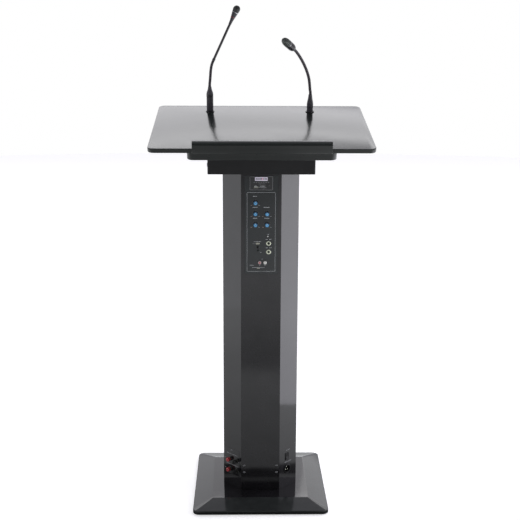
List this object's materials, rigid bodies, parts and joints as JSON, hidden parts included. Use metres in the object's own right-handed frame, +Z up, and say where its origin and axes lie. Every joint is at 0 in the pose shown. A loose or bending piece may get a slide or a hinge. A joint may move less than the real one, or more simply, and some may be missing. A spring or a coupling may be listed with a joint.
{
  "type": "presentation lectern",
  "caption": "Presentation lectern: tilting desk with paper stop and gooseneck microphones, on an octagonal speaker column with a control panel and a low bevelled base.",
  "frame": {"origin": "on the floor, below the middle of the whole lectern's outline in plan", "axes": "+Z up, +X to the presenter's right, +Y from the presenter towards the audience"},
  "size_m": [0.65, 0.4504, 1.5253],
  "materials": {
    "black_plastic": "fine moulded grain",
    "blue_plastic": "satin",
    "chrome": "nickel plate",
    "circuit_board": "solder mask",
    "cone_paper": "pulp cone, rubber surround",
    "desk_laminate": "satin black laminate over fibreboard",
    "gooseneck": "black oxide wound steel",
    "lacquer": "high-gloss black lacquer over fibreboard",
    "led": "clear dome",
    "mic_head": "black mesh basket and ring",
    "painted_steel": "satin black powder coat",
    "panel_metal": "fine satin black paint",
    "red_plastic": "satin gloss",
    "rubber": "matt",
    "transformer_steel": "laminated steel and tape",
    "white_plastic": "satin gloss"
  },
  "bodies": {
    "column": {"amp_circuit_board": "circuit_board", "amp_faceplate": "panel_metal", "base_plate": "lacquer", "column_floor_bracket": "painted_steel", "column_front_board": "lacquer", "column_left_wing": "lacquer", "column_rear_board": "lacquer", "column_right_wing": "lacquer", "column_top_plate": "painted_steel", "mic_jack_1": "chrome", "mic_jack_2": "chrome", "neck_tray": "painted_steel", "pivot_bolt_left": "painted_steel", "pivot_bolt_right": "painted_steel", "player_module": "black_plastic", "power_inlet": "black_plastic", "power_led": "led", "power_transformer": "transformer_steel", "rca_socket_red": "red_plastic", "rca_socket_white": "white_plastic", "rubber_foot_front_left": "rubber", "rubber_foot_front_right": "rubber", "rubber_foot_rear_left": "rubber", "rubber_foot_rear_right": "rubber", "speaker_grille": "painted_steel", "terminal_plate": "black_plastic", "woofer_lower": "cone_paper", "woofer_upper": "cone_paper"},
    "desk": {"desk_board": "desk_laminate", "support_board": "desk_laminate", "ledge": "desk_laminate", "tilt_bracket_left": "painted_steel", "tilt_bracket_right": "painted_steel", "left_mic_socket": "black_plastic", "right_mic_socket": "black_plastic", "left_mic_plug": "black_plastic", "right_mic_plug": "black_plastic"},
    "master_volume_knob": {"master_volume_knob": "blue_plastic"},
    "mic_1_volume_knob": {"mic_1_volume_knob": "blue_plastic"},
    "mic_2_volume_knob": {"mic_2_volume_knob": "blue_plastic"},
    "treble_knob": {"treble_knob": "blue_plastic"},
    "bass_knob": {"bass_knob": "blue_plastic"},
    "terminal_cap_upper_red": {"terminal_cap_upper_red": "red_plastic"},
    "terminal_cap_upper_black": {"terminal_cap_upper_black": "black_plastic"},
    "terminal_cap_lower_red": {"terminal_cap_lower_red": "red_plastic"},
    "terminal_cap_lower_black": {"terminal_cap_lower_black": "black_plastic"},
    "player_button_1": {"player_button_1": "black_plastic"},
    "player_button_2": {"player_button_2": "black_plastic"},
    "player_button_3": {"player_button_3": "black_plastic"},
    "speaker_switch": {"speaker_switch": "black_plastic"},
    "mains_rocker": {"mains_rocker": "black_plastic"},
    "left_latch": {"left_latch_tab": "black_plastic"},
    "right_latch": {"right_latch_tab": "black_plastic"},
    "left_neck_base": {"left_neck_lower": "gooseneck"},
    "left_neck_top": {"left_neck_upper": "gooseneck", "left_mic_head": "mic_head"},
    "right_neck_base": {"right_neck_lower": "gooseneck"},
    "right_neck_top": {"right_neck_upper": "gooseneck", "right_mic_head": "mic_head"}
  },
  "joints": [
    {"name": "desk_tilt", "type": "hinge", "parent": "column", "child": "desk", "pos_m": [0, 0, 1.047], "axis": [1, 0, 0], "range_deg": [-13.7, 6]},
    {"name": "master_volume_knob_turn", "type": "hinge", "parent": "column", "child": "master_volume_knob", "pos_m": [-0.0173, -0.098, 0.944], "axis": [0, -1, 0], "range_deg": [-150, 150]},
    {"name": "mic_1_volume_knob_turn", "type": "hinge", "parent": "column", "child": "mic_1_volume_knob", "pos_m": [-0.0173, -0.098, 0.911], "axis": [0, -1, 0], "range_deg": [-150, 150]},
    {"name": "mic_2_volume_knob_turn", "type": "hinge", "parent": "column", "child": "mic_2_volume_knob", "pos_m": [0.0173, -0.098, 0.911], "axis": [0, -1, 0], "range_deg": [-150, 150]},
    {"name": "treble_knob_turn", "type": "hinge", "parent": "column", "child": "treble_knob", "pos_m": [-0.0173, -0.098, 0.878], "axis": [0, -1, 0], "range_deg": [-150, 150]},
    {"name": "bass_knob_turn", "type": "hinge", "parent": "column", "child": "bass_knob", "pos_m": [0.0173, -0.098, 0.878], "axis": [0, -1, 0], "range_deg": [-150, 150]},
    {"name": "terminal_cap_upper_red_turn", "type": "hinge", "parent": "column", "child": "terminal_cap_upper_red", "pos_m": [-0.09341, -0.06459, 0.118], "axis": [-0.7071, -0.7071, 0], "range_deg": [0, 360]},
    {"name": "terminal_cap_upper_black_turn", "type": "hinge", "parent": "column", "child": "terminal_cap_upper_black", "pos_m": [-0.07361, -0.08439, 0.118], "axis": [-0.7071, -0.7071, 0], "range_deg": [0, 360]},
    {"name": "terminal_cap_lower_red_turn", "type": "hinge", "parent": "column", "child": "terminal_cap_lower_red", "pos_m": [-0.09341, -0.06459, 0.084], "axis": [-0.7071, -0.7071, 0], "range_deg": [0, 360]},
    {"name": "terminal_cap_lower_black_turn", "type": "hinge", "parent": "column", "child": "terminal_cap_lower_black", "pos_m": [-0.07361, -0.08439, 0.084], "axis": [-0.7071, -0.7071, 0], "range_deg": [0, 360]},
    {"name": "player_button_1_press", "type": "slide", "parent": "column", "child": "player_button_1", "axis": [0, 1, 0], "range_m": [0, 0.001], "stiffness_N_per_m": 400},
    {"name": "player_button_2_press", "type": "slide", "parent": "column", "child": "player_button_2", "axis": [0, 1, 0], "range_m": [0, 0.001], "stiffness_N_per_m": 400},
    {"name": "player_button_3_press", "type": "slide", "parent": "column", "child": "player_button_3", "axis": [0, 1, 0], "range_m": [0, 0.001], "stiffness_N_per_m": 400},
    {"name": "speaker_switch_slide", "type": "slide", "parent": "column", "child": "speaker_switch", "axis": [0, 0, 1], "range_m": [-0.0035, 0.0035]},
    {"name": "mains_rocker_tip", "type": "hinge", "parent": "column", "child": "mains_rocker", "pos_m": [0.08492, -0.07308, 0.128], "axis": [0.7071, 0.7071, 0], "range_deg": [0, 14]},
    {"name": "left_latch_press", "type": "slide", "parent": "desk", "child": "left_latch", "axis": [0, 0.9715, 0.2368], "range_m": [0, 0.0015], "stiffness_N_per_m": 500},
    {"name": "right_latch_press", "type": "slide", "parent": "desk", "child": "right_latch", "axis": [0, 0.9715, 0.2368], "range_m": [0, 0.0015], "stiffness_N_per_m": 500},
    {"name": "left_neck_lean", "type": "hinge", "parent": "desk", "child": "left_neck_base", "pos_m": [-0.1586, 0.13829, 1.28019], "axis": [1, 0, 0], "range_deg": [-40, 40]},
    {"name": "left_neck_bend", "type": "hinge", "parent": "left_neck_base", "child": "left_neck_top", "pos_m": [-0.1537, 0.138, 1.3427], "axis": [0, 1, 0], "range_deg": [-60, 40]},
    {"name": "right_neck_lean", "type": "hinge", "parent": "desk", "child": "right_neck_base", "pos_m": [0.1586, 0.14394, 1.25699], "axis": [1, 0, 0], "range_deg": [-40, 40]},
    {"name": "right_neck_bend", "type": "hinge", "parent": "right_neck_base", "child": "right_neck_top", "pos_m": [0.1559, 0.139, 1.2807], "axis": [0, 1, 0], "range_deg": [-40, 60]}
  ]
}
